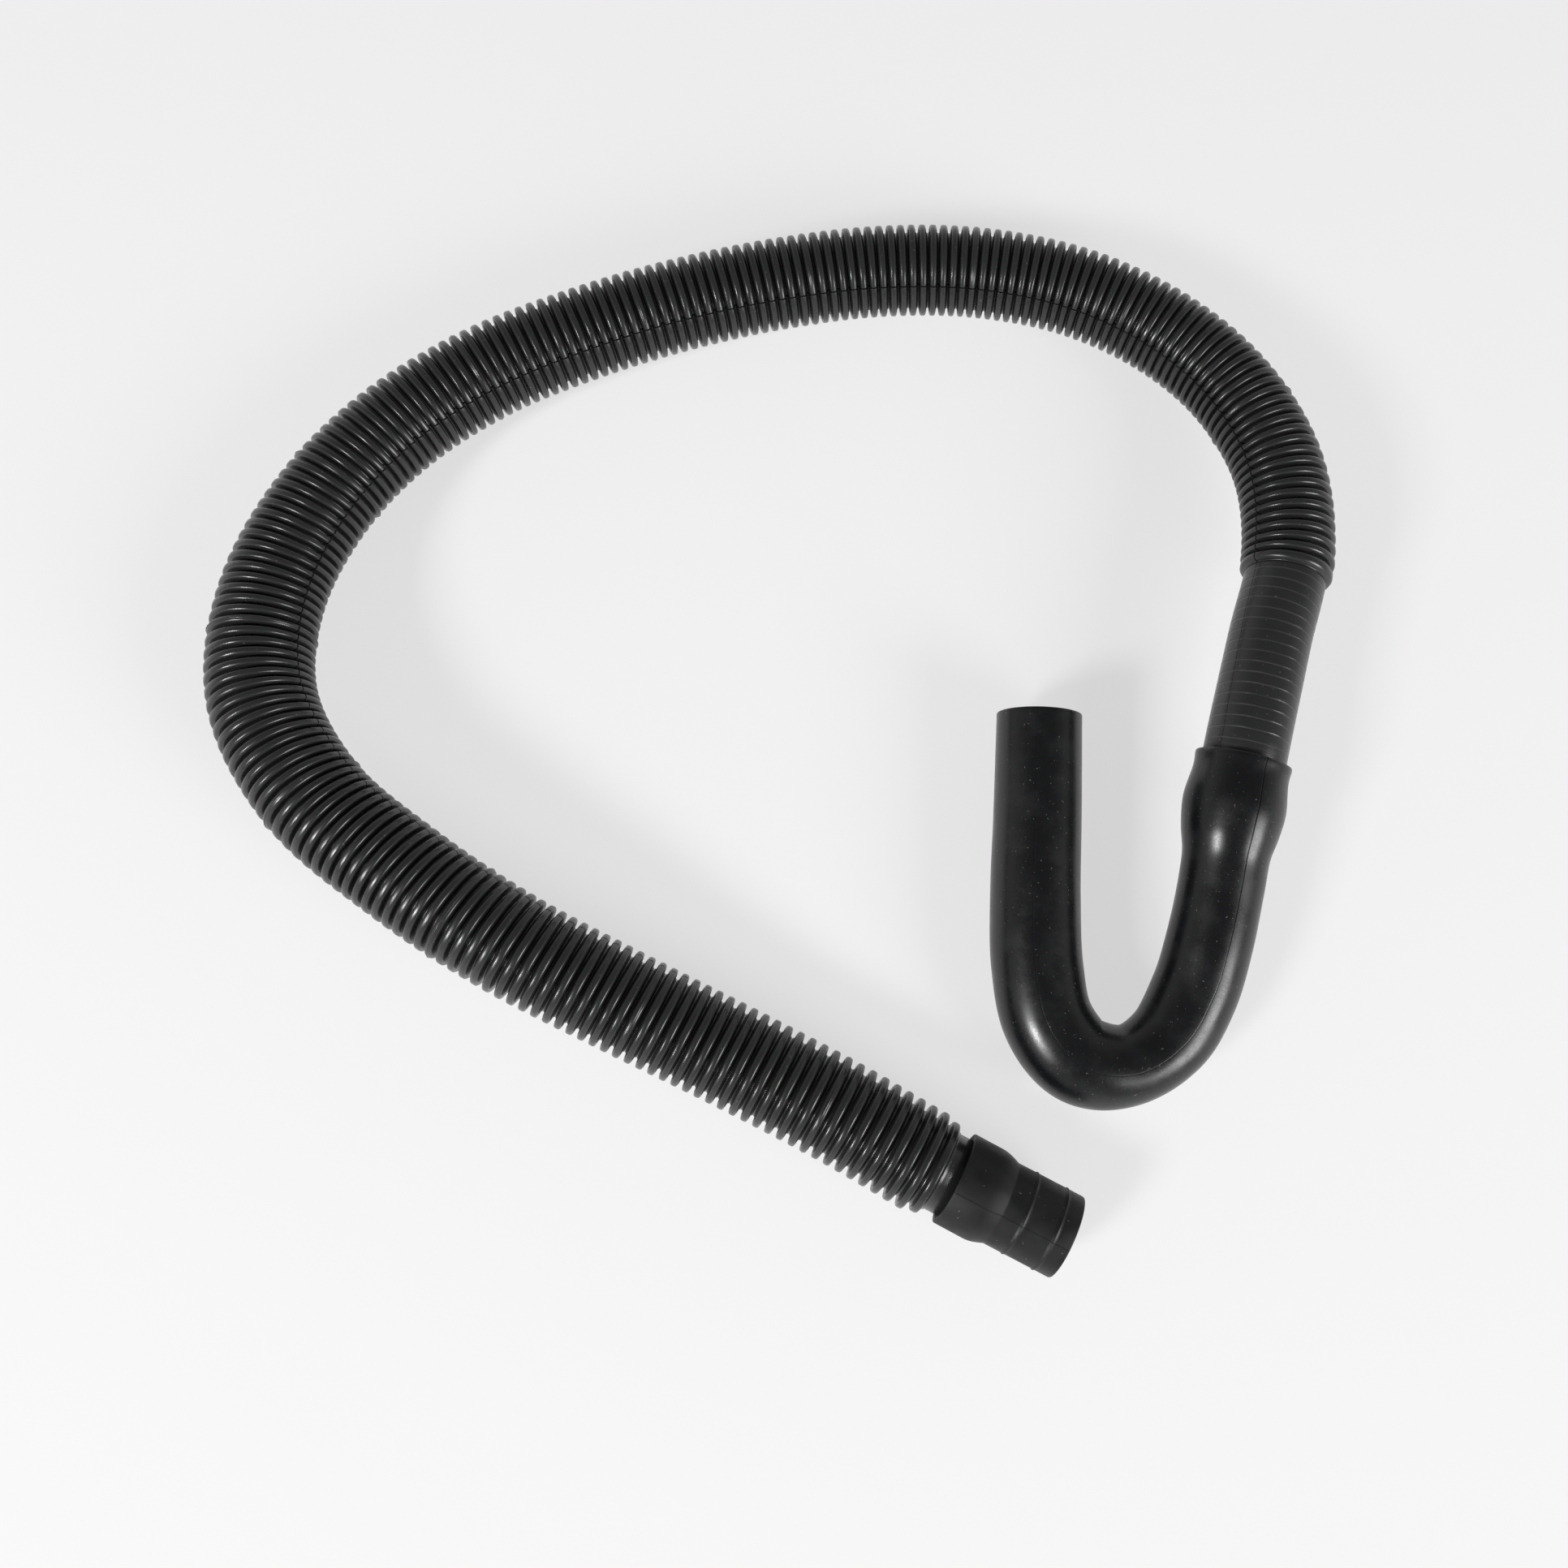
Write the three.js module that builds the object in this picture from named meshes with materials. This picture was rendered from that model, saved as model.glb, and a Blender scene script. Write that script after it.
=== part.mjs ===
// A washing machine drain hose lying on a table: a blow-moulded corrugated hose with its plain sleeve,
// a moulded rubber hook pushed over the sleeve, and a moulded rubber cuff for the pump's spout.
// Millimetres, +Z up. The origin is on the table, under the middle of the hose's outline.
import * as THREE from "three";
import { mergeVertices } from "three/addons/utils/BufferGeometryUtils.js";

// Radial clearance between a moulded end and the piece that it sits in.
const seatClearance = 0.3;

// Corrugated hose.
const crestRadius = 17.5;
const valleyRadius = 14.5;
const corrugationCount = 202;
const meanPitch = 4.228;
const hoseBoreRadius = 13.4;
const firstCrestRadius = 16.3;
const neckRadius = 13.6;
const neckWall = 1.2;
const neckVisible = 5.4;
const neckSeat = 13;

// Plain sleeve at the hook end of the corrugated hose.
const sleeveRadius = 15.3;
const sleeveWall = 1.3;
const sleeveVisible = 73;
const sleeveSeat = 26;
const beadHeight = 0.9;
const beadWidth = 9;
const beadInset = 4;
const collarRadius = 17.2;
const collarWidth = 5;

// Rubber cuff at the pump end.
const cuffLength = 43;
const cuffWall = 1.9;
const spoutBoreRadius = 11.8;
const spoutEndRadius = 14.3;
const shoulderStart = 25;
const shoulderLength = 7;
const spoutRibHeight = 0.35;
const spoutRibWidth = 0.9;
const spoutRibPlaces = [6.3, 17.7];

// Rubber hook.
const hookLength = 269.2;
const hookWall = 2.4;
const hookLipWall = 2.1;

// The hose gets stretched and squeezed as it bends: pitch against the mean, from the pump end to the sleeve.
const pitchShares = [
  [0, 1.15],
  [0.1, 1.045],
  [0.3, 0.94],
  [0.66, 1.02],
  [0.78, 0.96],
  [1, 1.035],
];

// Outer radius of the hook against the distance from its lip: the swell over the sleeve's bead, the leg
// down to the bend, the drawn-in outside of the tight bend, and the straight leg.
const hookOutline = [
  [0, sleeveRadius + seatClearance + hookLipWall],
  [5, 17.3],
  [17, 18.6],
  [27, 17.5],
  [35, 15.8],
  [45, 15.45],
  [70, 15.5],
  [88, 15.5],
  [99, 15.2],
  [109, 14.5],
  [121, 14.1],
  [132, 15.2],
  [144, 16.0],
  [158, 16.3],
  [180, 16.5],
  [205, 16.4],
  [hookLength, 15.9],
];

// Centre line of the whole drain hose, from the cuff's open end round the loop to the hook's open end. The
// stiff hose arches a little off the table at the left and beside the sleeve.
const route = [
  [97.5, -186, 17.5],
  [57, -165.4, 17.5],
  [20, -144.9, 17.6],
  [-18, -125.9, 18.2],
  [-55.1, -108.1, 22.5],
  [-93.7, -88.6, 28.5],
  [-129.3, -66, 30.5],
  [-162.1, -39.5, 31],
  [-183.1, -5.7, 29],
  [-186.1, 32.9, 25],
  [-174.3, 70.5, 21.5],
  [-152.5, 102.6, 18.7],
  [-121.6, 128.6, 17.6],
  [-85.4, 147.7, 17.5],
  [-47.9, 162.8, 17.5],
  [-9, 174.3, 17.8],
  [31, 181.1, 19.3],
  [71, 181.2, 21.5],
  [109.8, 173.3, 23.5],
  [144.2, 156.1, 25],
  [169.4, 131, 28],
  [184.7, 96.4, 32.5],
  [185.9, 59, 34.5],
  [175.9, 23, 35],
  [166.5, -13, 33.5],
  [159.1, -44.5, 30],
  [155.6, -66.3, 26],
  [151.2, -86.5, 22.5],
  [145.6, -104.4, 19],
  [135.9, -120.4, 17.3],
  [121.2, -129.4, 16.5],
  [104.1, -127.5, 16.3],
  [93.3, -114.8, 16.4],
  [89.4, -95.5, 16.7],
  [89, -70.5, 17.5],
  [90.1, -40.5, 19],
  [91.1, -3.2, 21.5],
].map(([x, y, z]) => new THREE.Vector3(x, y, z));

// Facets round each piece, and the longest step along a plain tube.
const hoseSides = 10;
const hookSides = 14;
const cuffSides = 16;
const boreStep = 19;
const hookStep = 8.5;

const vertical = new THREE.Vector3(0, 0, 1);
const centreLine = new THREE.CatmullRomCurve3(route, false, "centripetal");
centreLine.arcLengthDivisions = 4000;
const centreLineLength = centreLine.getLength();

// Where each stretch starts, measured along the centre line from the cuff's open end.
const neckStart = cuffLength - neckSeat;
const firstCrest = cuffLength + neckVisible + meanPitch / 2;
const crests = crestPlaces();
const collarCentre = crests[crests.length - 1];
const sleeveStart = collarCentre + collarWidth / 2;
const hookLip = sleeveStart + sleeveVisible;
const sleeveEnd = hookLip + sleeveSeat;

// The crests' places: each pitch follows the shares above, and the last crest is the collar's centre.
function crestPlaces() {
  const places = [firstCrest];
  for (let i = 1; i < corrugationCount; i++) {
    const share = interpolate(pitchShares, i / (corrugationCount - 1));
    places.push(places[i - 1] + meanPitch * share);
  }
  return places;
}

// A value read off a list of [place, value] pairs, on straight lines between them.
function interpolate(pairs, place) {
  const next = pairs.findIndex(([at]) => at >= place);
  if (next < 0) return pairs[pairs.length - 1][1];
  if (next === 0) return pairs[0][1];
  const [x0, y0] = pairs[next - 1];
  const [x1, y1] = pairs[next];
  return y0 + ((y1 - y0) * (place - x0)) / (x1 - x0);
}

// The centre line's point and its sideways and upward directions at a distance from the cuff's open end. Past
// either end of the route the line goes straight on.
function stationAt(distance) {
  const on = THREE.MathUtils.clamp(distance, 0, centreLineLength);
  const along = centreLine.getTangentAt(on / centreLineLength);
  const point = centreLine.getPointAt(on / centreLineLength).addScaledVector(along, distance - on);
  const side = new THREE.Vector3().crossVectors(along, vertical).normalize();
  const up = new THREE.Vector3().crossVectors(side, along);
  return { point, side, up };
}

// A closed profile of [radius, distance] pairs is turned into a straight hollow piece, then laid along the
// centre line.
function layAlongRoute(profile, sides) {
  const outline = profile.map(([radius, distance]) => new THREE.Vector2(radius, distance));
  const turned = new THREE.LatheGeometry([...outline, outline[0]], sides);
  turned.deleteAttribute("normal");
  turned.deleteAttribute("uv");
  const geometry = mergeVertices(turned, 1e-3);
  const position = geometry.getAttribute("position");
  const stations = new Map();
  const vertex = new THREE.Vector3();
  for (let i = 0; i < position.count; i++) {
    vertex.fromBufferAttribute(position, i);
    if (!stations.has(vertex.y)) stations.set(vertex.y, stationAt(vertex.y));
    const { point, side, up } = stations.get(vertex.y);
    const laid = point.clone().addScaledVector(side, vertex.x).addScaledVector(up, vertex.z);
    position.setXYZ(i, laid.x, laid.y, laid.z);
  }
  geometry.computeVertexNormals();
  return geometry;
}

// Evenly spaced distances from one place to another, both included.
function steps(from, to, longest) {
  const count = Math.max(1, Math.ceil((to - from) / longest));
  return Array.from({ length: count + 1 }, (_, i) => from + ((to - from) * i) / count);
}

// The corner radius of a faceted bore whose flats lie at the given radius.
function cornerRadius(flatRadius, sides) {
  return flatRadius / Math.cos(Math.PI / sides);
}

// A straight stretch of bore, stepped so that it can follow the bends.
function bore(radius, from, to, longest) {
  return steps(from, to, longest).map((distance) => [radius, distance]);
}

// The outside of the corrugations: a smaller first ring, round crests and narrow valleys between them.
function corrugations() {
  const outline = [];
  for (let i = 0; i < corrugationCount - 1; i++) {
    outline.push([i === 0 ? firstCrestRadius : crestRadius, crests[i]]);
    outline.push([valleyRadius, (crests[i] + crests[i + 1]) / 2]);
  }
  return outline;
}

// The hose is one blow-moulded piece: neck, corrugations, collar, plain sleeve, and the bead that the hook
// grips.
function hoseProfile() {
  const sleeveBore = sleeveRadius - sleeveWall;
  const neckBore = neckRadius - neckWall;
  const beadEnd = sleeveEnd - beadInset;
  const beadStart = beadEnd - beadWidth;
  const outside = [
    [neckRadius, neckStart],
    [neckRadius, cuffLength],
    [neckRadius, firstCrest - meanPitch / 2],
    ...corrugations(),
    [collarRadius, collarCentre - collarWidth / 4],
    [collarRadius, collarCentre + collarWidth / 4],
    [sleeveRadius, sleeveStart],
    ...bore(sleeveRadius, sleeveStart, beadStart, boreStep).slice(1),
    [sleeveRadius + beadHeight, beadStart + beadWidth / 3],
    [sleeveRadius + beadHeight, beadEnd - beadWidth / 3],
    [sleeveRadius, beadEnd],
    [sleeveRadius, sleeveEnd],
  ];
  const inside = [
    ...bore(neckBore, neckStart, firstCrest, boreStep),
    ...bore(hoseBoreRadius, firstCrest + meanPitch, collarCentre, boreStep),
    ...bore(sleeveBore, sleeveStart, sleeveEnd, boreStep),
  ];
  return [...outside, ...inside.reverse()];
}

// The hook's bore follows the sleeve and its bead, then runs on one wall's thickness inside the outline.
function hookProfile() {
  const outer = new THREE.SplineCurve(hookOutline.map(([at, radius]) => new THREE.Vector2(at, radius)));
  const outline = outer.getPoints(hookOutline.length * 40).map((p) => [p.x, p.y]);
  const radiusAt = (at) => interpolate(outline, at);
  const places = steps(0, hookLength, hookStep);
  const outside = places.map((at) => [radiusAt(at), hookLip + at]);
  const seatRadius = cornerRadius(sleeveRadius + seatClearance, hookSides);
  const beadSeat = cornerRadius(sleeveRadius + beadHeight + seatClearance, hookSides);
  const seatEnd = sleeveSeat + seatClearance;
  const beadEnd = sleeveSeat - beadInset + seatClearance;
  const beadStart = beadEnd - beadWidth - seatClearance;
  const inside = [
    [seatRadius, hookLip],
    [seatRadius, hookLip + beadStart],
    [beadSeat, hookLip + beadStart + beadWidth / 3],
    [beadSeat, hookLip + beadEnd - beadWidth / 3],
    [seatRadius, hookLip + beadEnd],
    [seatRadius, hookLip + seatEnd],
    ...steps(seatEnd + hookWall, hookLength, hookStep).map((at) => [
      radiusAt(at) - hookWall,
      hookLip + at,
    ]),
  ];
  return [...outside, ...inside.reverse()];
}

// The cuff: a slim ribbed end for the pump's spout, a rounded shoulder, and a bell over the hose's neck.
function cuffProfile() {
  const bellBore = cornerRadius(neckRadius + seatClearance, cuffSides);
  const bellRadius = bellBore + cuffWall;
  const shoulderEnd = shoulderStart + shoulderLength;
  const seatFloor = neckStart - seatClearance;
  const ribs = spoutRibPlaces.flatMap((at) => [
    [spoutEndRadius, at - spoutRibWidth / 2],
    [spoutEndRadius + spoutRibHeight, at],
    [spoutEndRadius, at + spoutRibWidth / 2],
  ]);
  const shoulder = [0, 0.25, 0.5, 0.75, 1].map((share) => {
    const rise = Math.sin((share * Math.PI) / 2);
    return [
      THREE.MathUtils.lerp(spoutEndRadius, bellRadius, rise),
      THREE.MathUtils.lerp(shoulderStart, shoulderEnd, share),
    ];
  });
  const outside = [[spoutEndRadius, 0], ...ribs, ...shoulder, [bellRadius, cuffLength]];
  const inside = [
    [spoutBoreRadius, 0],
    [spoutBoreRadius, seatFloor],
    [bellBore, seatFloor],
    [bellBore, cuffLength],
  ];
  return [...outside, ...inside.reverse()];
}

function piece(name, profile, sides, material) {
  const mesh = new THREE.Mesh(layAlongRoute(profile, sides), material);
  mesh.name = name;
  return mesh;
}

const blackPolyethylene = new THREE.MeshStandardMaterial({ color: 0x232526, roughness: 0.42, metalness: 0 });
const hookRubber = new THREE.MeshStandardMaterial({ color: 0x1a1b1e, roughness: 0.48, metalness: 0 });
const cuffRubber = new THREE.MeshStandardMaterial({ color: 0x26272a, roughness: 0.7, metalness: 0 });

const drainHose = new THREE.Group();
drainHose.add(piece("corrugated_hose", hoseProfile(), hoseSides, blackPolyethylene));
drainHose.add(piece("rubber_hook", hookProfile(), hookSides, hookRubber));
drainHose.add(piece("pump_cuff", cuffProfile(), cuffSides, cuffRubber));

export default drainHose;
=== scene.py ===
"""A washing machine drain hose on a white table: corrugated hose, rubber hook and pump cuff.

Each piece is turned: an outline of (distance, radius) pairs is laid along one bent centre line.
Distances count from the cuff's open end. Lengths are in millimetres where nothing else is said."""

import math

import bpy
import numpy as np
from mathutils import Matrix


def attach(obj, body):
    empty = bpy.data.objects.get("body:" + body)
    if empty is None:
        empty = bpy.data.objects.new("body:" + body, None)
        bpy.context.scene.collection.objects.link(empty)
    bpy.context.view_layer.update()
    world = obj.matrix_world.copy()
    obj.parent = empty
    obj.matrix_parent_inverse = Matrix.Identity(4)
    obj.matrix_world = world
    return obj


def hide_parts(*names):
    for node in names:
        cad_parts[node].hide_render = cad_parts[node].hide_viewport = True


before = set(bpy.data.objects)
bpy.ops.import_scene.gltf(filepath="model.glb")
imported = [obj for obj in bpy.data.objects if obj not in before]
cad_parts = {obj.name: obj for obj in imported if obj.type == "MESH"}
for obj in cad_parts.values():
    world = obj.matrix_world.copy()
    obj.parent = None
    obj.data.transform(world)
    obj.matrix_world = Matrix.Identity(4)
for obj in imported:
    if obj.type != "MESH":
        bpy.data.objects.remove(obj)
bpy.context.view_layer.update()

MM = 0.001

# The camera that was fitted to the photo: nearly straight above the loop, places in metres.
PHOTO_PX = 1932
FOCAL_PX = 1598.6
PRINCIPAL_PX = (1159.3, 883.1)
SENSOR_WIDTH = 36.0
CAMERA_AT = (0.0115, -0.1238, 0.4841)
CAMERA_RIGHT = (0.9958, 0.0, 0.0921)
CAMERA_BACK = (-0.0892, -0.24774, 0.9647)
CAMERA_CLIP = (0.01, 20.0)


def unit(vectors):
    """A vector, or each row of an array, at length one."""
    vectors = np.asarray(vectors, float)
    return vectors / np.linalg.norm(vectors, axis=-1, keepdims=True)


def link(name, data):
    """A new object in the scene."""
    made = bpy.data.objects.new(name, data)
    bpy.context.scene.collection.objects.link(made)
    return made


def aim(made, right, back, at):
    """Places a camera or a lamp, which look against back."""
    columns = np.column_stack([right, np.cross(back, right), back, at])
    made.matrix_world = Matrix([*columns.tolist(), (0, 0, 0, 1)])


def set_camera():
    data = bpy.data.cameras.new("camera")
    data.sensor_width = SENSOR_WIDTH
    data.lens = FOCAL_PX / PHOTO_PX * SENSOR_WIDTH
    data.shift_x = 0.5 - PRINCIPAL_PX[0] / PHOTO_PX
    data.shift_y = PRINCIPAL_PX[1] / PHOTO_PX - 0.5
    data.clip_start, data.clip_end = CAMERA_CLIP
    back = unit(CAMERA_BACK)
    right = unit(np.array(CAMERA_RIGHT) - back * np.dot(CAMERA_RIGHT, back))
    camera = link("camera", data)
    aim(camera, right, back, CAMERA_AT)
    bpy.context.scene.camera = camera


set_camera()

# Centre line of the whole drain hose in metres, from the cuff's open end to the hook's open end.
ROUTE = [
    (0.0975, -0.186, 0.0175),
    (0.057, -0.1654, 0.0175),
    (0.02, -0.1449, 0.0176),
    (-0.018, -0.1259, 0.0182),
    (-0.0551, -0.1081, 0.0225),
    (-0.0937, -0.0886, 0.0285),
    (-0.1293, -0.066, 0.0305),
    (-0.1621, -0.0395, 0.031),
    (-0.1831, -0.0057, 0.029),
    (-0.1861, 0.0329, 0.025),
    (-0.1743, 0.0705, 0.0215),
    (-0.1525, 0.1026, 0.0187),
    (-0.1216, 0.1286, 0.0176),
    (-0.0854, 0.1477, 0.0175),
    (-0.0479, 0.1628, 0.0175),
    (-0.009, 0.1743, 0.0178),
    (0.031, 0.1811, 0.0193),
    (0.071, 0.1812, 0.0215),
    (0.1098, 0.1733, 0.0235),
    (0.1442, 0.1561, 0.025),
    (0.1694, 0.131, 0.028),
    (0.1847, 0.0964, 0.0325),
    (0.1859, 0.059, 0.0345),
    (0.1759, 0.023, 0.035),
    (0.1665, -0.013, 0.0335),
    (0.1591, -0.0445, 0.03),
    (0.1556, -0.0663, 0.026),
    (0.1512, -0.0865, 0.0225),
    (0.1456, -0.1044, 0.019),
    (0.1359, -0.1204, 0.0173),
    (0.1212, -0.1294, 0.0165),
    (0.1041, -0.1275, 0.0163),
    (0.0933, -0.1148, 0.0164),
    (0.0894, -0.0955, 0.0167),
    (0.089, -0.0705, 0.0175),
    (0.0901, -0.0405, 0.019),
    (0.0911, -0.0032, 0.0215),
]
LINE_DIVISIONS = 4000

# Rings of the corrugated hose. The pitch is a share of the mean, by the share of the rings passed.
# The flank is half a ring: distance from its middle, and share of its height above the valleys.
CREST_RADIUS = 17.5
FIRST_CREST_RADIUS = 16.3
VALLEY_RADIUS = 14.3
CORRUGATIONS = 202
MEAN_PITCH = 4.228
PITCH_SHARES = [(0, 1.15), (0.1, 1.045), (0.3, 0.94), (0.66, 1.02), (0.78, 0.96), (1, 1.035)]
FLANK = [(1.6, 0.14), (1.48, 0.52), (1.22, 0.83), (0.88, 0.96), (0.45, 1)]

# The mould's block length in rings: each block leaves a fine ridge on the crest of its last ring.
BLOCK_RINGS = 16
BLOCK_FIRST = 9
BLOCK_RIDGE = [(-0.16, 1), (0, 1.1), (0.16, 1)]

# Neck in the cuff, and bore.
NECK_RADIUS = 13.6
NECK_WALL = 1.2
NECK_VISIBLE = 5.4
NECK_SEAT = 13.0
NECK_FILLET = 1.0
FIRST_VALLEY_FROM_CREST = 2.0
HOSE_BORE_RADIUS = 13.4
HOSE_BORE_ROWS = 50

# Sleeve in the hook, with fine grooves round it: distance from a groove's middle, and depth.
SLEEVE_RADIUS = 15.3
SLEEVE_WALL = 1.3
SLEEVE_VISIBLE = 73.0
SLEEVE_SEAT = 26.0
SLEEVE_BORE_ROWS = 8
SLEEVE_LINE_PITCH = 4.1
SLEEVE_FIRST_LINE = 3.0
SLEEVE_LAST_LINE_FROM_LIP = 6.0
SLEEVE_GROOVE = [(-0.6, 0), (-0.22, 0), (0, 0.17), (0.22, 0), (0.6, 0)]

# Collar between rings and sleeve: distance from its middle, and radius.
COLLAR_RADIUS = 17.2
COLLAR_WIDTH = 5.0
COLLAR_FOOT_RADIUS = SLEEVE_RADIUS - 0.15
COLLAR_OUTLINE = [
    (-1.9, 15.2),
    (-1.6, 16.6),
    (-0.9, COLLAR_RADIUS),
    (0.9, COLLAR_RADIUS),
    (1.6, 16.75),
    (2.0, 16.2),
    (2.15, 15.4),
    (2.3, COLLAR_FOOT_RADIUS),
    (2.6, COLLAR_FOOT_RADIUS),
    (2.8, SLEEVE_RADIUS),
    (3.4, SLEEVE_RADIUS),
]

# Rubber cuff. Its ribs are fine rings: distance from the middle of one, and height.
CUFF_LENGTH = 43.0
CUFF_WALL = 1.9
SPOUT_BORE_RADIUS = 11.8
SPOUT_END_RADIUS = 14.3
BELL_CLEARANCE = 0.5
BELL_RADIUS = NECK_RADIUS + BELL_CLEARANCE + CUFF_WALL
SHOULDER_START = 25.0
SHOULDER_LENGTH = 7.0
SHOULDER_FILLET = 0.3
SHOULDER_ROWS = 14
SPOUT_RIBS = (6.3, 17.7)
RIB_OUTLINE = [(-1.2, 0), (-0.35, 0.02), (-0.12, 0.3), (0.12, 0.3), (0.35, 0.02), (1.2, 0)]
NECK_CLEARANCE = 0.35
NECK_END_CLEARANCE = 0.3

# Rubber hook. Its outline is the distance from its lip, and the outer radius.
HOOK_LENGTH = 269.2
HOOK_WALL = 2.4
HOOK_ROWS = 240
HOOK_BORE_ROW_STEP = 8
HOOK_BORE_FROM_SEAT = 4.0
HOOK_BORE_FROM_END = 3.0
SLEEVE_CLEARANCE = 0.25
SLEEVE_END_CLEARANCE = 0.5
HOOK_LIP_CHAMFER = 0.1
HOOK_OUTLINE = [
    (0, 17.7),
    (5, 17.3),
    (17, 18.6),
    (27, 17.5),
    (35, 15.8),
    (45, 15.45),
    (70, 15.5),
    (88, 15.5),
    (99, 15.2),
    (109, 14.5),
    (121, 14.1),
    (132, 15.2),
    (144, 16.0),
    (158, 16.3),
    (180, 16.5),
    (205, 16.4),
    (HOOK_LENGTH, 15.9),
]

# Rounded edges of the rubber pieces' ends: distance from the end, and depth under the surface.
CUFF_EDGE = [(0, 0.45), (0.12, 0.12), (0.5, 0)]
HOOK_EDGE = [(0, 0.5), (0.15, 0.15), (0.5, 0)]
BORE_EDGE = 0.4

HOSE_SIDES = 40
RUBBER_SIDES = 64

# Angles of the moulds' parting lines from straight up, in degrees towards the inside of the loop,
# by distance. In a piece's texture coordinates the line lies at the quarter turn.
HOSE_PARTING = [
    (40, 80),
    (150, 72),
    (200, 63),
    (320, 66),
    (365, 61),
    (480, 53),
    (568, 50),
    (700, 54),
    (905, 62),
    (975, 50),
]
CUFF_PARTING = [(0, -13.0)]
HOOK_PARTING = [(0, -12.0)]
PARTING_TURN = 0.25

# The brown stain on the hook: its angle from straight up, and its distance from the lip.
HOOK_STAIN_ANGLE = -41.0
HOOK_STAIN_FROM_LIP = 16.0


def dense_line(knots):
    """Arc length, points and directions along a centripetal Catmull-Rom line through the knots."""
    knots = np.vstack([2 * knots[0] - knots[1], knots, 2 * knots[-1] - knots[-2]])
    spans = []
    for p0, p1, p2, p3 in zip(knots, knots[1:], knots[2:], knots[3:]):
        d0, d1, d2 = (np.linalg.norm(b - a) ** 0.5 for a, b in ((p0, p1), (p1, p2), (p2, p3)))
        t1 = ((p1 - p0) / d0 - (p2 - p0) / (d0 + d1) + (p2 - p1) / d1) * d1
        t2 = ((p2 - p1) / d1 - (p3 - p1) / (d1 + d2) + (p3 - p2) / d2) * d1
        spans.append((p1, t1, -3 * p1 + 3 * p2 - 2 * t1 - t2, 2 * p1 - 2 * p2 + t1 + t2))
    place = np.linspace(0, len(spans), LINE_DIVISIONS + 1)
    span = np.minimum(place.astype(int), len(spans) - 1)
    share = (place - span)[:, None]
    c0, c1, c2, c3 = (np.array([s[k] for s in spans])[span] for k in range(4))
    points = c0 + c1 * share + c2 * share**2 + c3 * share**3
    along = c1 + 2 * c2 * share + 3 * c3 * share**2
    arc = np.concatenate([[0], np.cumsum(np.linalg.norm(np.diff(points, axis=0), axis=1))])
    return arc, points, unit(along)


LINE_ARC, LINE_POINTS, LINE_ALONG = dense_line(np.array(ROUTE) / MM)


def stations(distances):
    """Points on the centre line, straight on past its ends, and its side and upward directions."""
    distances = np.asarray(distances, float)
    on = np.clip(distances, 0, LINE_ARC[-1])
    points = np.stack([np.interp(on, LINE_ARC, values) for values in LINE_POINTS.T], 1)
    along = unit(np.stack([np.interp(on, LINE_ARC, values) for values in LINE_ALONG.T], 1))
    points = points + along * (distances - on)[:, None]
    side = unit(np.cross(along, (0, 0, 1)))
    return points, side, np.cross(side, along)


def crest_places():
    places = [CUFF_LENGTH + NECK_VISIBLE + MEAN_PITCH / 2]
    passed, shares = zip(*PITCH_SHARES)
    for i in range(1, CORRUGATIONS):
        share = float(np.interp(i / (CORRUGATIONS - 1), passed, shares))
        places.append(places[-1] + MEAN_PITCH * share)
    return places


CRESTS = crest_places()
NECK_START = CUFF_LENGTH - NECK_SEAT
SLEEVE_START = CRESTS[-1] + COLLAR_WIDTH / 2
HOOK_LIP = SLEEVE_START + SLEEVE_VISIBLE
HOOK_END = HOOK_LIP + HOOK_LENGTH
SLEEVE_END = HOOK_LIP + SLEEVE_SEAT


def tube(name, profile, sides, material, parting):
    """A closed turned piece from (distance, radius) pairs that run round its wall.

    Its texture coordinates are the turn, from the parting line, and the distance."""
    distances, radii = (np.array(values, float) for values in zip(*profile))
    points, side, up = stations(distances)
    turn = np.linspace(0, 2 * math.pi, sides, endpoint=False)[None, :, None]
    outward = side[:, None] * np.sin(turn) + up[:, None] * np.cos(turn)
    vertices = (points[:, None] + outward * radii[:, None, None]) * MM
    line_at = PARTING_TURN - np.interp(distances, *zip(*parting)) / 360
    faces, places = [], []
    for i in range(len(profile)):
        j = (i + 1) % len(profile)
        for k in range(sides):
            n = (k + 1) % sides
            faces.append((i * sides + k, i * sides + n, j * sides + n, j * sides + k))
            for row, step in ((i, 0), (i, 1), (j, 1), (j, 0)):
                places.append(((k + step) / sides + line_at[row], distances[row]))
    mesh = bpy.data.meshes.new(name)
    mesh.from_pydata(vertices.reshape(-1, 3).tolist(), [], faces)
    laid = mesh.uv_layers.new(name="laid")
    laid.data.foreach_set("uv", np.array(places, np.float32).ravel())
    mesh.polygons.foreach_set("use_smooth", [True] * len(mesh.polygons))
    mesh.materials.append(material)
    mesh.update()
    return link(name, mesh)


def smooth_curve(pairs, places):
    """Values at places on a smooth curve through (place, value) pairs."""
    points = dense_line(np.array([(at, value, 0) for at, value in pairs], float))[1]
    return np.interp(places, points[:, 0], points[:, 1])


def rounded_edge(edge, end, inward, radius):
    """Outline of an edge at a flat end; inward is 1 or -1, the way into the piece."""
    return [(end + inward * distance, radius - depth) for distance, depth in edge]


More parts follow.
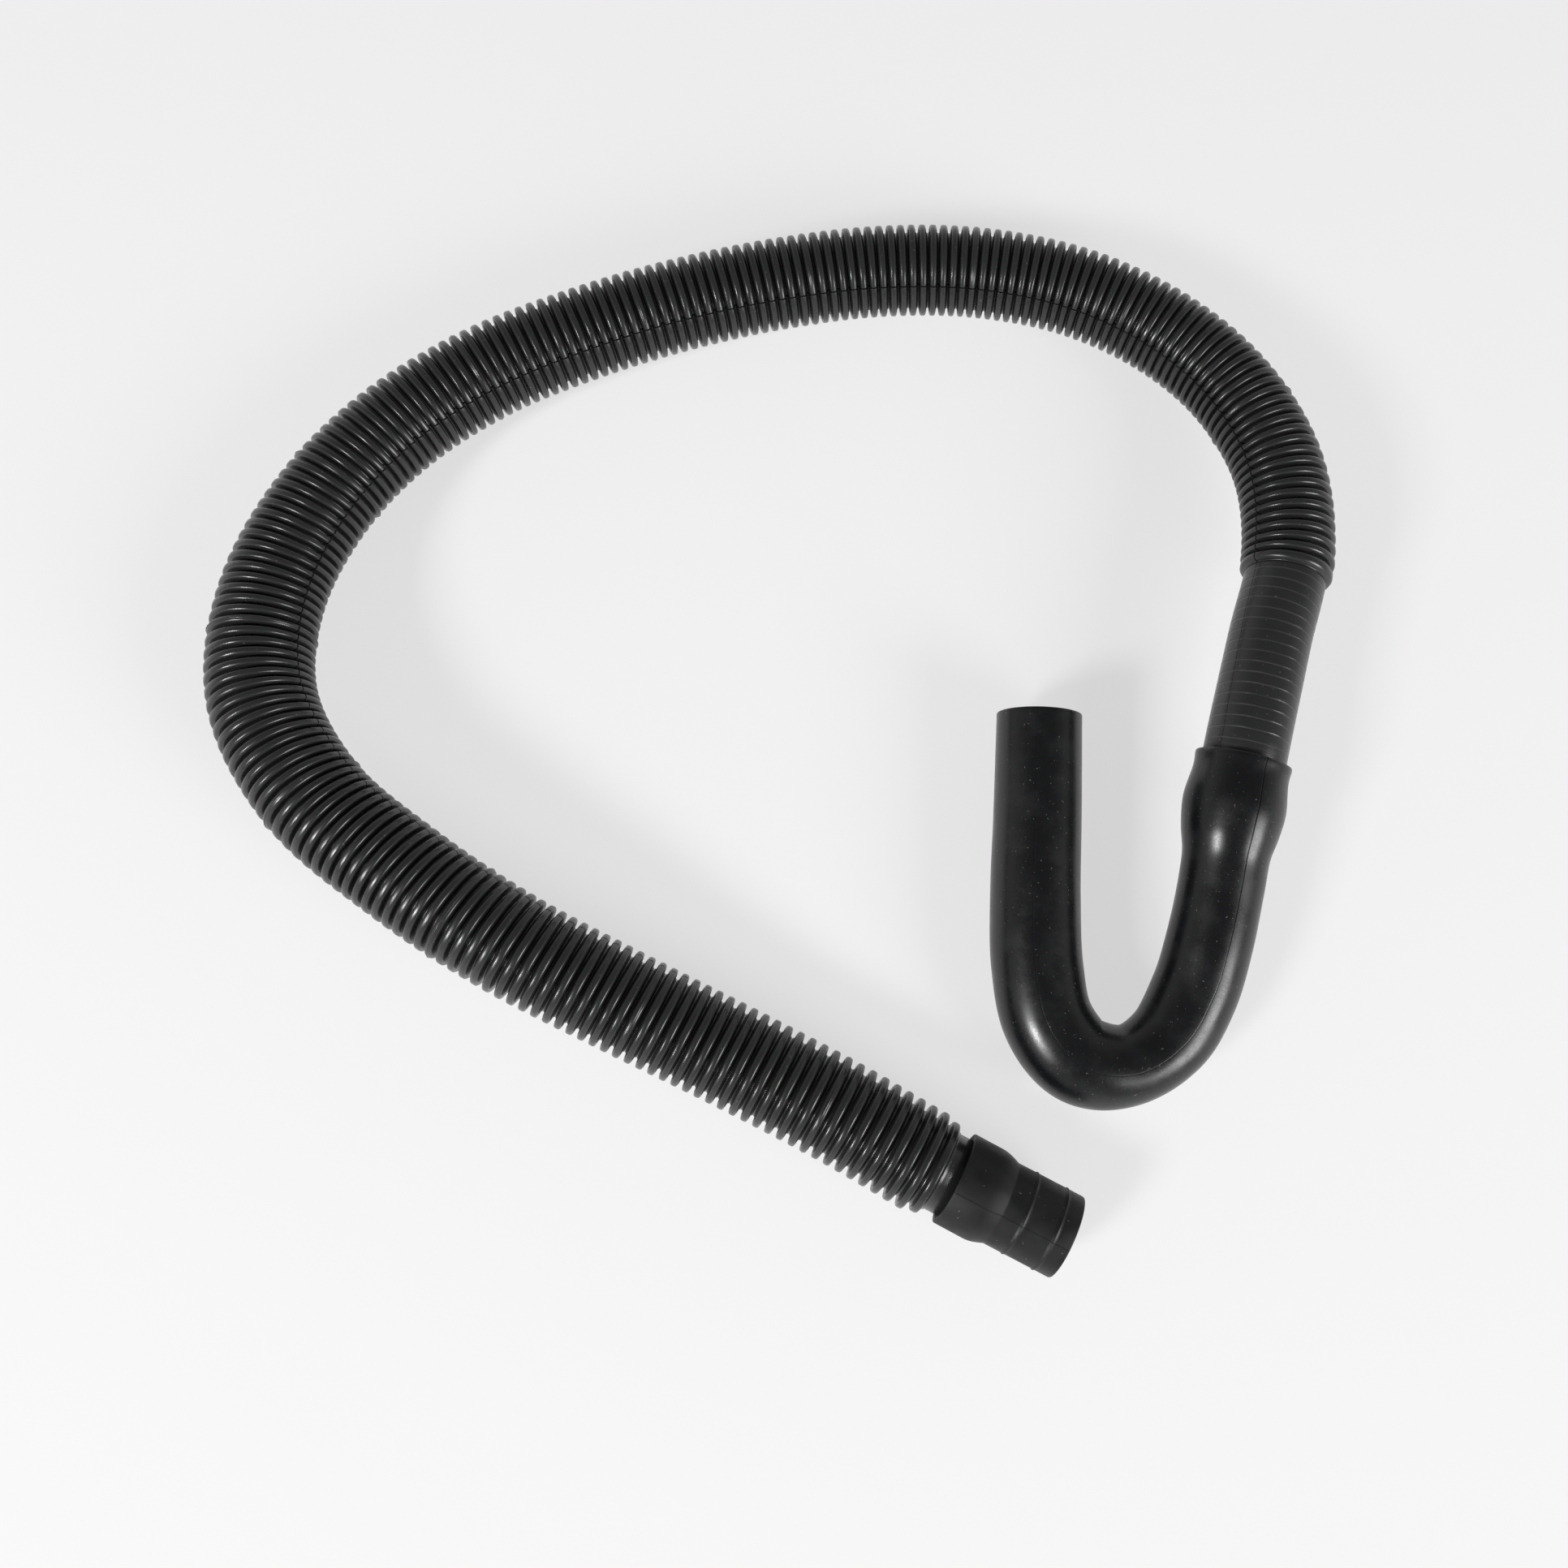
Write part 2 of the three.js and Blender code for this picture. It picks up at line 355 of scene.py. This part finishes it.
def ring_profile():
    """Rings of one width with a flat crown and tight shoulders, and narrow valleys between."""
    profile = []
    for i, (crest, following) in enumerate(zip(CRESTS, CRESTS[1:])):
        height = (CREST_RADIUS if i else FIRST_CREST_RADIUS) - VALLEY_RADIUS
        ridge = BLOCK_RIDGE if i % BLOCK_RINGS == BLOCK_FIRST else []
        for offset, share in [(-offset, share) for offset, share in FLANK] + ridge + FLANK[::-1]:
            profile.append((crest + offset, VALLEY_RADIUS + height * share))
        profile.append(((crest + following) / 2, VALLEY_RADIUS))
    return profile


def hose_profile():
    """The hose's outside from neck to sleeve, and back along its smooth bore."""
    profile = [
        (NECK_START, NECK_RADIUS),
        (CUFF_LENGTH + NECK_VISIBLE - NECK_FILLET, NECK_RADIUS),
        (CRESTS[0] - FIRST_VALLEY_FROM_CREST, VALLEY_RADIUS),
    ]
    profile += ring_profile()
    profile += [(CRESTS[-1] + offset, radius) for offset, radius in COLLAR_OUTLINE]
    groove = SLEEVE_START + SLEEVE_FIRST_LINE
    while groove < HOOK_LIP - SLEEVE_LAST_LINE_FROM_LIP:
        profile += [(groove + offset, SLEEVE_RADIUS - depth) for offset, depth in SLEEVE_GROOVE]
        groove += SLEEVE_LINE_PITCH
    profile.append((SLEEVE_END, SLEEVE_RADIUS))
    neck_bore = NECK_RADIUS - NECK_WALL
    for start, end, rows, radius in (
        (SLEEVE_END, SLEEVE_START, SLEEVE_BORE_ROWS, SLEEVE_RADIUS - SLEEVE_WALL),
        (CRESTS[-1], CRESTS[0] + MEAN_PITCH, HOSE_BORE_ROWS, HOSE_BORE_RADIUS),
        (CRESTS[0], NECK_START, 2, neck_bore),
    ):
        profile += [(distance, radius) for distance in np.linspace(start, end, rows)]
    return profile


def hook_profile():
    """The hook's outside from lip to open end, and back along its bore to the sleeve's seat."""
    places = np.linspace(0, HOOK_LENGTH, HOOK_ROWS)
    outer = smooth_curve(HOOK_OUTLINE, places)
    rows = list(zip(places, outer))
    bore = outer[-1] - HOOK_WALL
    profile = rounded_edge(HOOK_EDGE[:-1], HOOK_LIP, 1, outer[0])
    profile += [(HOOK_LIP + place, radius) for place, radius in rows[1:-1]]
    profile += rounded_edge(HOOK_EDGE, HOOK_END, -1, outer[-1])[::-1]
    profile += [(HOOK_END, bore + BORE_EDGE), (HOOK_END - BORE_EDGE, bore)]
    for place, radius in rows[::-HOOK_BORE_ROW_STEP]:
        if SLEEVE_SEAT + HOOK_BORE_FROM_SEAT < place < HOOK_LENGTH - HOOK_BORE_FROM_END:
            profile.append((HOOK_LIP + place, radius - HOOK_WALL))
    seat = SLEEVE_RADIUS + SLEEVE_CLEARANCE
    return profile + [
        (SLEEVE_END + SLEEVE_END_CLEARANCE, seat),
        (HOOK_LIP + HOOK_LIP_CHAMFER, seat),
    ]


def cuff_profile():
    """The cuff's outside from spout end to bell, and back along the neck's seat and the bore."""
    profile = rounded_edge(CUFF_EDGE, 0.0, 1, SPOUT_END_RADIUS)
    for rib in SPOUT_RIBS:
        profile += [(rib + offset, SPOUT_END_RADIUS + height) for offset, height in RIB_OUTLINE]
    profile.append((SHOULDER_START - SHOULDER_FILLET, SPOUT_END_RADIUS))
    for share in np.linspace(0, 1, SHOULDER_ROWS):
        rise = (BELL_RADIUS - SPOUT_END_RADIUS) * math.sin(share * math.pi / 2)
        profile.append((SHOULDER_START + SHOULDER_LENGTH * share, SPOUT_END_RADIUS + rise))
    profile += rounded_edge(CUFF_EDGE, CUFF_LENGTH, -1, BELL_RADIUS)[::-1]
    seat = NECK_RADIUS + NECK_CLEARANCE
    floor = NECK_START - NECK_END_CLEARANCE
    return profile + [
        (CUFF_LENGTH, seat),
        (floor, seat),
        (floor, SPOUT_BORE_RADIUS),
        (BORE_EDGE, SPOUT_BORE_RADIUS),
        (0.0, SPOUT_BORE_RADIUS + BORE_EDGE),
    ]


# Colours, linear.
HOSE_BLACK = (0.018, 0.0183, 0.0183)
HOSE_LINE_BLACK = (0.002, 0.002, 0.002)
# Painted highlight: the pale edges of the sleeve's fine grooves.
HOSE_GROOVE_PAINTED_HIGHLIGHT = (0.055, 0.055, 0.054)
HOSE_DUST = (0.07, 0.068, 0.065)
HOOK_BLACK = (0.003, 0.0033, 0.004)
HOOK_BLOTCH = (0.0065, 0.007, 0.0078)
HOOK_DUST = (0.1, 0.1, 0.1)
HOOK_STAIN = (0.035, 0.027, 0.018)
CUFF_BLACK = (0.004, 0.0042, 0.0044)
CUFF_DUST = (0.06, 0.06, 0.058)
FULL_BLACK = (0.0, 0.0, 0.0)
PAPER = (0.8, 0.792, 0.798)
PAPER_WHITE = (0.97, 0.96, 0.966)

# Radii at which the parting lines and spots of the rubber pieces have their widths.
HOOK_LINE_RADIUS = 17.0
CUFF_LINE_RADIUS = 15.0

# Full specular level of the hose and the hook away from their parting lines.
SPECULAR_LEVEL = 0.5


def add(tree, kind, inputs=(), **settings):
    """A new node with its settings and its inputs, each a value or another node's output."""
    node = tree.nodes.new("ShaderNode" + kind)
    for name, value in settings.items():
        setattr(node, name, value)
    for socket, value in dict(inputs).items():
        if isinstance(value, bpy.types.NodeSocket):
            tree.links.new(value, node.inputs[socket])
        else:
            node.inputs[socket].default_value = value
    return node


def maths(tree, operation, *values):
    return add(tree, "Math", enumerate(values), operation=operation).outputs[0]


def band(tree, value, low, high, to_low=0.0, to_high=1.0):
    """Smoothly from to_low at low to to_high at high, and flat beyond."""
    inputs = {0: value, 1: low, 2: high, 3: to_low, 4: to_high}
    return add(tree, "MapRange", inputs, interpolation_type="SMOOTHSTEP").outputs[0]


def noise(tree, vector, scale, detail=2.0, roughness=0.5):
    inputs = {"Vector": vector, "Scale": scale, "Detail": detail, "Roughness": roughness}
    return add(tree, "TexNoise", inputs).outputs[0]


def blend_colour(tree, share, first, second):
    inputs = {0: share}
    for socket, value in ((6, first), (7, second)):
        inputs[socket] = value if isinstance(value, bpy.types.NodeSocket) else (*value, 1)
    return add(tree, "Mix", inputs, data_type="RGBA").outputs[2]


class Look:
    """A black moulded material with the coordinates that its details need."""

    def __init__(self, name, colour, roughness):
        self.material = bpy.data.materials.new(name)
        self.material.use_nodes = True
        self.tree = self.material.node_tree
        self.shader = self.tree.nodes["Principled BSDF"]
        self.shader.inputs["Base Color"].default_value = (*colour, 1)
        self.shader.inputs["Roughness"].default_value = roughness
        self.place = add(self.tree, "TexCoord").outputs["Object"]
        laid = add(self.tree, "UVMap", uv_map="laid").outputs[0]
        self.turn, self.along = add(self.tree, "SeparateXYZ", {0: laid}).outputs[:2]
        self.colour = colour
        self.heights = []

    def drive(self, name, value):
        """Links a value that varies over the surface to the shader."""
        self.tree.links.new(value, self.shader.inputs[name])

    def parting_line(self, radius, solid, faded):
        """The mould's two parting lines: one out to half width solid, nothing from faded on."""
        folded = maths(self.tree, "PINGPONG", self.turn, 0.5)
        off = maths(self.tree, "ABSOLUTE", maths(self.tree, "SUBTRACT", folded, PARTING_TURN))
        away = maths(self.tree, "MULTIPLY", off, 2 * math.pi * radius)
        return band(self.tree, away, solid, faded, 1.0, 0.0)

    def spot(self, radius, turn, distance, solid, faded):
        """A ragged round patch, one where it is solid and nothing where it has faded."""
        offset = maths(self.tree, "SUBTRACT", self.turn, turn)
        across = maths(self.tree, "MULTIPLY", offset, 2 * math.pi * radius)
        ahead = maths(self.tree, "SUBTRACT", self.along, distance)
        squares = [maths(self.tree, "MULTIPLY", value, value) for value in (across, ahead)]
        away = maths(self.tree, "SQRT", maths(self.tree, "ADD", *squares))
        ragged = noise(self.tree, self.place, 500.0, 3.0)
        ragged = maths(self.tree, "MULTIPLY_ADD", ragged, -4.0, 2.0)
        return band(self.tree, maths(self.tree, "ADD", away, ragged), solid, faded, 1.0, 0.0)

    def specks(self, scale, low, high):
        """Grains of dust: the peaks of a noise."""
        return band(self.tree, noise(self.tree, self.place, scale, 1.0), low, high)

    def paint(self, share, colour):
        """Lays a colour over what is there, by a share."""
        self.colour = blend_colour(self.tree, share, self.colour, colour)

    def dull(self, share, amount):
        """Lowers the specular level, by a share."""
        level = maths(self.tree, "MULTIPLY_ADD", share, -amount, SPECULAR_LEVEL)
        self.drive("Specular IOR Level", level)

    def raise_by(self, share, millimetres):
        self.heights.append(maths(self.tree, "MULTIPLY", share, millimetres))

    def finish(self):
        total = self.heights[0]
        for height in self.heights[1:]:
            total = maths(self.tree, "ADD", total, height)
        bump = add(self.tree, "Bump", {"Height": total, "Distance": MM, "Strength": 1.0})
        self.drive("Normal", bump.outputs[0])
        self.drive("Base Color", self.colour)
        return self.material


def ring_streaks(look, round_scale, along_scale):
    """A noise that is long round the hose and short along it, without a break in the turn."""
    tree = look.tree
    angle = maths(tree, "MULTIPLY", look.turn, 2 * math.pi)
    across = maths(tree, "MULTIPLY", maths(tree, "COSINE", angle), round_scale)
    upward = maths(tree, "MULTIPLY", maths(tree, "SINE", angle), round_scale)
    ahead = maths(tree, "MULTIPLY", look.along, along_scale)
    place = add(tree, "CombineXYZ", {0: across, 1: upward, 2: ahead}).outputs[0]
    return noise(tree, place, 1.0, 2.0, 0.6)


def sleeve_groove_painted_highlights(look, patches):
    """Painted highlights: pale lines at the edges of the sleeve's fine grooves, stronger in some
    places than in others.
    """
    tree = look.tree
    along = maths(tree, "SUBTRACT", look.along, SLEEVE_START + SLEEVE_FIRST_LINE)
    away = maths(tree, "PINGPONG", along, SLEEVE_LINE_PITCH / 2)
    lines = band(tree, away, 0.08, 0.28, 1.0, 0.0)
    on_sleeve = band(tree, along, -0.6, -0.5)
    strength = maths(tree, "MULTIPLY", band(tree, patches, 0.4, 0.6, 0.35, 0.9), on_sleeve)
    return maths(tree, "MULTIPLY", lines, strength)


def hose_look():
    """Satin polyethylene with the mould's parting line and fine streaks round each ring."""
    look = Look("hose_polyethylene", HOSE_BLACK, 0.3)
    tree = look.tree
    streaks = ring_streaks(look, 2.2, 2.4)
    patches = noise(tree, look.place, 60.0, 2.0)
    on_rings = band(tree, look.along, SLEEVE_START - 0.5, SLEEVE_START + 0.5, 1.0, 0.35)
    line = maths(tree, "MULTIPLY", look.parting_line(CREST_RADIUS, 0.16, 0.34), on_rings)
    one_half = band(tree, maths(tree, "PINGPONG", look.turn, 0.5), 0.249, 0.251)
    streaky = band(tree, streaks, 0.3, 0.7, -0.04, 0.05)
    patchy = band(tree, patches, 0.35, 0.65, 0.24, 0.3)
    look.drive("Roughness", maths(tree, "ADD", streaky, patchy))
    look.dull(line, 0.45)
    look.raise_by(streaks, 0.02)
    look.raise_by(line, -0.1)
    look.raise_by(one_half, 0.06)
    look.paint(line, HOSE_LINE_BLACK)
    # Painted highlights along the edges of the sleeve's fine grooves.
    look.paint(sleeve_groove_painted_highlights(look, patches), HOSE_GROOVE_PAINTED_HIGHLIGHT)
    look.paint(look.specks(900.0, 0.745, 0.77), HOSE_DUST)
    return look.finish()


def hook_look():
    """Smooth rubber, a little blotchy, with dust, a stain and the seam at the swollen mouth."""
    look = Look("hook_rubber", HOOK_BLACK, 0.3)
    tree = look.tree
    blotches = noise(tree, look.place, 95.0, 4.0, 0.6)
    grain = noise(tree, look.place, 1300.0, 2.0)
    waves = noise(tree, look.place, 35.0, 1.0)
    near_mouth = band(tree, look.along, HOOK_LIP + 55, HOOK_LIP + 80, 1.0, 0.25)
    line = maths(tree, "MULTIPLY", look.parting_line(HOOK_LINE_RADIUS, 0.1, 0.28), near_mouth)
    stain_turn = PARTING_TURN + (HOOK_STAIN_ANGLE - HOOK_PARTING[0][1]) / 360
    stain_at = HOOK_LIP + HOOK_STAIN_FROM_LIP
    blotchy = band(tree, blotches, 0.35, 0.65, 0.27, 0.34)
    grainy = band(tree, grain, 0.3, 0.7, -0.02, 0.03)
    look.drive("Roughness", maths(tree, "ADD", blotchy, grainy))
    look.dull(line, 0.4)
    look.raise_by(line, -0.1)
    look.raise_by(grain, 0.0015)
    look.raise_by(waves, 0.08)
    look.paint(band(tree, blotches, 0.45, 0.7), HOOK_BLOTCH)
    look.paint(look.specks(1100.0, 0.74, 0.765), HOOK_DUST)
    look.paint(look.spot(HOOK_LINE_RADIUS, stain_turn, stain_at, 1.6, 3.2), HOOK_STAIN)
    return look.finish()


def cuff_look():
    """Matte rubber with a raised parting line that ends in a dark nub at the spout end."""
    look = Look("cuff_rubber", CUFF_BLACK, 0.5)
    tree = look.tree
    look.shader.inputs["Specular IOR Level"].default_value = 0.4
    patches = noise(tree, look.place, 130.0, 3.0)
    line = look.parting_line(CUFF_LINE_RADIUS, 0.08, 0.26)
    look.drive("Roughness", band(tree, patches, 0.35, 0.65, 0.45, 0.6))
    look.raise_by(line, 0.14)
    look.raise_by(noise(tree, look.place, 1500.0, 3.0), 0.012)
    look.paint(look.specks(800.0, 0.75, 0.77), CUFF_DUST)
    look.paint(look.spot(CUFF_LINE_RADIUS, PARTING_TURN, 0.8, 0.5, 1.3), FULL_BLACK)
    look.paint(maths(tree, "MULTIPLY", line, 0.5), FULL_BLACK)
    return look.finish()


hose = tube("hose", hose_profile(), HOSE_SIDES, hose_look(), HOSE_PARTING)
hook = tube("hook", hook_profile(), RUBBER_SIDES, hook_look(), HOOK_PARTING)
cuff = tube("cuff", cuff_profile(), RUBBER_SIDES, cuff_look(), CUFF_PARTING)
for made, node in ((hose, "corrugated_hose"), (hook, "rubber_hook"), (cuff, "pump_cuff")):
    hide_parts(node)
    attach(made, "root")

# The stage, in metres and degrees. A softbox is a square lamp that faces the middle of the table:
# name, azimuth, angle from straight up, distance, side and brightness.
TABLE_HALF = 4.0
SOFTBOXES = [
    ("right_softbox", -38, 62, 2.2, 0.9, 13.0),
    ("left_softbox", -142, 53, 1.9, 0.4, 50.0),
]

# The room's brightness fades from the first to the second between two heights of the view, where
# nought is level and one is straight up.
ROOM_FADE_HEIGHTS = (0.1, 0.75)
ROOM_BRIGHTNESS = (0.62, 0.14)

# Share of the table's look that is its own even white, for the camera and in reflections.
WHITE_SHARE = 0.64


def softbox(name, azimuth, zenith, distance, side, brightness):
    azimuth, zenith = math.radians(azimuth), math.radians(zenith)
    flat = math.sin(zenith)
    back = np.array((flat * math.cos(azimuth), flat * math.sin(azimuth), math.cos(zenith)))
    data = bpy.data.lights.new(name, "AREA")
    data.shape = "SQUARE"
    data.size = side
    data.energy = brightness * math.pi * side**2
    aim(link(name, data), unit(np.cross((0, 1, 0), back)), back, back * distance)


def set_world():
    """A dim room: dark overhead, paler towards the horizon."""
    world = bpy.data.worlds.new("world")
    world.use_nodes = True
    tree = world.node_tree
    view = add(tree, "TexCoord").outputs["Generated"]
    height = add(tree, "SeparateXYZ", {0: view}).outputs[2]
    fade = dict(enumerate((height, *ROOM_FADE_HEIGHTS, *ROOM_BRIGHTNESS)))
    background = tree.nodes["Background"]
    background.inputs["Color"].default_value = (1, 1, 1, 1)
    tree.links.new(add(tree, "MapRange", fade).outputs[0], background.inputs["Strength"])
    bpy.context.scene.world = world


def table_look():
    """White paper that keeps a soft shadow."""
    material = bpy.data.materials.new("table_white")
    material.use_nodes = True
    tree = material.node_tree
    tree.nodes.remove(tree.nodes["Principled BSDF"])
    rays = add(tree, "LightPath").outputs
    seen = maths(tree, "MAXIMUM", rays["Is Camera Ray"], rays["Is Glossy Ray"])
    seen = maths(tree, "MAXIMUM", seen, rays["Is Transmission Ray"])
    paper = add(tree, "BsdfDiffuse", {"Color": (*PAPER, 1)}).outputs[0]
    white = add(tree, "Emission", {"Color": (*PAPER_WHITE, 1), "Strength": 1.0}).outputs[0]
    share = maths(tree, "MULTIPLY", seen, WHITE_SHARE)
    mix = add(tree, "MixShader", {0: share, 1: paper, 2: white})
    tree.links.new(mix.outputs[0], tree.nodes["Material Output"].inputs["Surface"])
    return material


def set_table():
    half = TABLE_HALF
    corners = [(-half, -half, 0), (half, -half, 0), (half, half, 0), (-half, half, 0)]
    mesh = bpy.data.meshes.new("table")
    mesh.from_pydata(corners, [], [(0, 1, 2, 3)])
    mesh.materials.append(table_look())
    link("table", mesh)


set_world()
set_table()
for settings in SOFTBOXES:
    softbox(*settings)
bpy.context.scene.view_settings.view_transform = "Standard"
